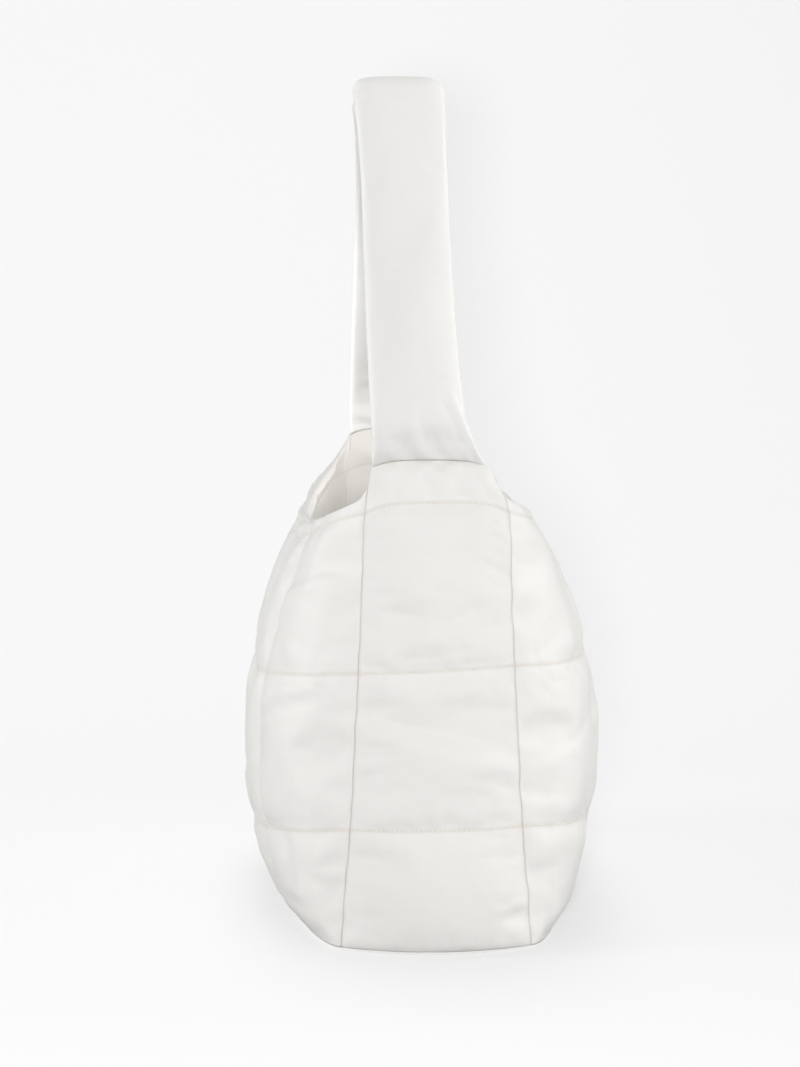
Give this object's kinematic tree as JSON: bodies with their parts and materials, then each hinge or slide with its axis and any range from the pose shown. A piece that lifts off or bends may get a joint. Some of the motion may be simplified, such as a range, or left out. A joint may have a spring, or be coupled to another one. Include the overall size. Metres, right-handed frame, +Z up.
{
  "type": "puffer bag",
  "caption": "Soft quilted puffer shopper with an open top, padded faces and side gussets, a flat quilted base and a wide padded strap raised over the mouth.",
  "frame": {"origin": "middle of the bag on the surface it stands on", "axes": "+Z up towards the strap, X along the bag from gusset to gusset, -Y towards the front face"},
  "size_m": [0.4432, 0.2353, 0.5653],
  "materials": {
    "quilted_nylon": "soft matte off-white nylon, padded and quilted",
    "strap_nylon": "soft matte off-white nylon over thick padding"
  },
  "bodies": {
    "root": {"front_panel": "quilted_nylon", "back_panel": "quilted_nylon", "side_gusset_right": "quilted_nylon", "side_gusset_left": "quilted_nylon", "base_panel": "quilted_nylon", "strap": "strap_nylon"}
  },
  "joints": []
}
